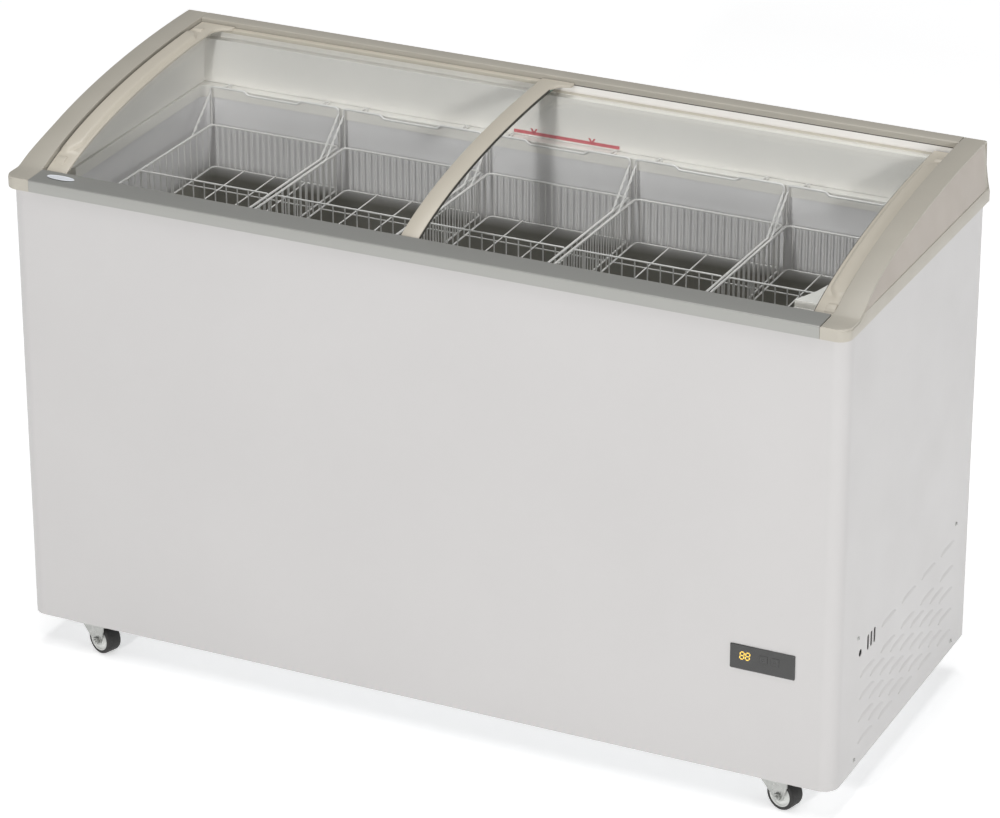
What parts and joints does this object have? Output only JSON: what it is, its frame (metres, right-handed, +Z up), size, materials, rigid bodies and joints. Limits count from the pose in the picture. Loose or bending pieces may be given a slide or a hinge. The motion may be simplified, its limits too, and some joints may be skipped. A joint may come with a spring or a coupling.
{
  "type": "chest freezer",
  "caption": "Chest freezer on castors with a raised rear edge, two curved sliding glass lids over hanging wire baskets, a louvred machine compartment and a small front control panel.",
  "frame": {"origin": "centre of the footprint on the floor, under the middle of the cabinet", "axes": "+X to the right along the length as seen from the front, +Y towards the rear, +Z up"},
  "size_m": [1.4, 0.596, 0.9045],
  "materials": {
    "white_enamel": "satin",
    "galvanised": "satin",
    "foam": "matte",
    "liner": "satin",
    "bare_aluminium": "satin",
    "frame_plastic": "satin",
    "rail_plastic": "satin",
    "strip_plastic": "satin",
    "badge": "gloss",
    "lid_glass": "gloss",
    "wire_white": "satin",
    "zinc": "satin",
    "tyre": "matte",
    "black_paint": "satin",
    "copper": "satin",
    "black_gloss": "gloss",
    "black_plastic": "matte"
  },
  "bodies": {
    "cabinet": {"cabinet_wrap": "white_enamel", "rear_panel": "galvanised", "base_pan": "galvanised", "compressor_tray": "galvanised", "foam_insulation": "foam", "inner_liner": "liner", "evaporator_wrap": "bare_aluminium", "throat_frame": "frame_plastic", "front_rail": "rail_plastic", "front_track": "frame_plastic", "rear_rail": "frame_plastic", "left_end_frame": "frame_plastic", "right_end_frame": "frame_plastic", "badge_plate": "badge", "front_basket_rail": "zinc", "front_left_castor_plate": "zinc", "front_right_castor_plate": "zinc", "rear_left_castor_plate": "zinc", "rear_right_castor_plate": "zinc", "compressor": "black_paint", "condenser": "black_paint", "fan_shroud": "galvanised", "fan_motor": "black_paint", "filter_drier": "copper", "display_bezel": "black_gloss", "controller_box": "black_plastic", "power_inlet": "black_plastic", "drain_spout": "black_plastic"},
    "upper_lid": {"upper_glass": "lid_glass", "upper_handle_strip": "strip_plastic", "upper_centre_strip": "strip_plastic"},
    "lower_lid": {"lower_glass": "lid_glass", "lower_handle_strip": "strip_plastic", "lower_centre_strip": "strip_plastic"},
    "basket_1": {"basket_1": "wire_white", "basket_divider_1": "wire_white"},
    "basket_2": {"basket_2": "wire_white", "basket_divider_2": "wire_white"},
    "basket_3": {"basket_3": "wire_white", "basket_divider_3": "wire_white"},
    "basket_4": {"basket_4": "wire_white", "basket_divider_4": "wire_white"},
    "basket_5": {"basket_5": "wire_white", "basket_divider_5": "wire_white"},
    "fan": {"fan_blade": "bare_aluminium"},
    "key_set": {"key_set": "black_gloss"},
    "key_mode": {"key_mode": "black_gloss"},
    "drain_cap": {"drain_cap": "black_plastic"},
    "front_left_castor": {"front_left_fork": "zinc", "front_left_axle": "zinc"},
    "front_left_wheel": {"front_left_wheel": "tyre"},
    "front_right_castor": {"front_right_fork": "zinc", "front_right_axle": "zinc"},
    "front_right_wheel": {"front_right_wheel": "tyre"},
    "rear_left_castor": {"rear_left_fork": "zinc", "rear_left_axle": "zinc"},
    "rear_left_wheel": {"rear_left_wheel": "tyre"},
    "rear_right_castor": {"rear_right_fork": "zinc", "rear_right_axle": "zinc"},
    "rear_right_wheel": {"rear_right_wheel": "tyre"}
  },
  "joints": [
    {"name": "upper_lid_slide", "type": "slide", "parent": "cabinet", "child": "upper_lid", "axis": [1, 0, 0], "range_m": [0, 0.6]},
    {"name": "lower_lid_slide", "type": "slide", "parent": "cabinet", "child": "lower_lid", "axis": [1, 0, 0], "range_m": [-0.6, 0]},
    {"name": "basket_1_lift", "type": "slide", "parent": "cabinet", "child": "basket_1", "axis": [0, 0, 1], "range_m": [0, 0.012]},
    {"name": "basket_2_lift", "type": "slide", "parent": "cabinet", "child": "basket_2", "axis": [0, 0, 1], "range_m": [0, 0.035]},
    {"name": "basket_3_lift", "type": "slide", "parent": "cabinet", "child": "basket_3", "axis": [0, 0, 1], "range_m": [0, 0.035]},
    {"name": "basket_4_lift", "type": "slide", "parent": "cabinet", "child": "basket_4", "axis": [0, 0, 1], "range_m": [0, 0.035]},
    {"name": "basket_5_lift", "type": "slide", "parent": "cabinet", "child": "basket_5", "axis": [0, 0, 1], "range_m": [0, 0.012]},
    {"name": "fan_spin", "type": "hinge", "parent": "cabinet", "child": "fan", "pos_m": [0.6, -0.09, 0.165], "axis": [1, 0, 0], "continuous": true},
    {"name": "key_set_press", "type": "slide", "parent": "cabinet", "child": "key_set", "axis": [0, 1, 0], "range_m": [0, 0.0012], "stiffness_N_per_m": 300, "springref_m": -0.0005},
    {"name": "key_mode_press", "type": "slide", "parent": "cabinet", "child": "key_mode", "axis": [0, 1, 0], "range_m": [0, 0.0012], "stiffness_N_per_m": 300, "springref_m": -0.0005},
    {"name": "drain_cap_pull", "type": "slide", "parent": "cabinet", "child": "drain_cap", "axis": [0, 1, 0], "range_m": [0, 0.02]},
    {"name": "front_left_swivel", "type": "hinge", "parent": "cabinet", "child": "front_left_castor", "pos_m": [-0.59, -0.254, 0.05], "axis": [0, 0, 1], "continuous": true},
    {"name": "front_left_roll", "type": "hinge", "parent": "front_left_castor", "child": "front_left_wheel", "pos_m": [-0.57684, -0.25879, 0.025], "axis": [0.342, 0.9397, 0], "continuous": true},
    {"name": "front_right_swivel", "type": "hinge", "parent": "cabinet", "child": "front_right_castor", "pos_m": [0.594, -0.252, 0.05], "axis": [0, 0, 1], "continuous": true},
    {"name": "front_right_roll", "type": "hinge", "parent": "front_right_castor", "child": "front_right_wheel", "pos_m": [0.60746, -0.25586, 0.025], "axis": [0.2756, 0.9613, 0], "continuous": true},
    {"name": "rear_left_swivel", "type": "hinge", "parent": "cabinet", "child": "rear_left_castor", "pos_m": [-0.59, 0.245, 0.05], "axis": [0, 0, 1], "continuous": true},
    {"name": "rear_left_roll", "type": "hinge", "parent": "rear_left_castor", "child": "rear_left_wheel", "pos_m": [-0.57642, 0.24839, 0.025], "axis": [-0.2419, 0.9703, 0], "continuous": true},
    {"name": "rear_right_swivel", "type": "hinge", "parent": "cabinet", "child": "rear_right_castor", "pos_m": [0.594, 0.245, 0.05], "axis": [0, 0, 1], "continuous": true},
    {"name": "rear_right_roll", "type": "hinge", "parent": "rear_right_castor", "child": "rear_right_wheel", "pos_m": [0.60636, 0.23843, 0.025], "axis": [0.4695, 0.8829, 0], "continuous": true}
  ]
}
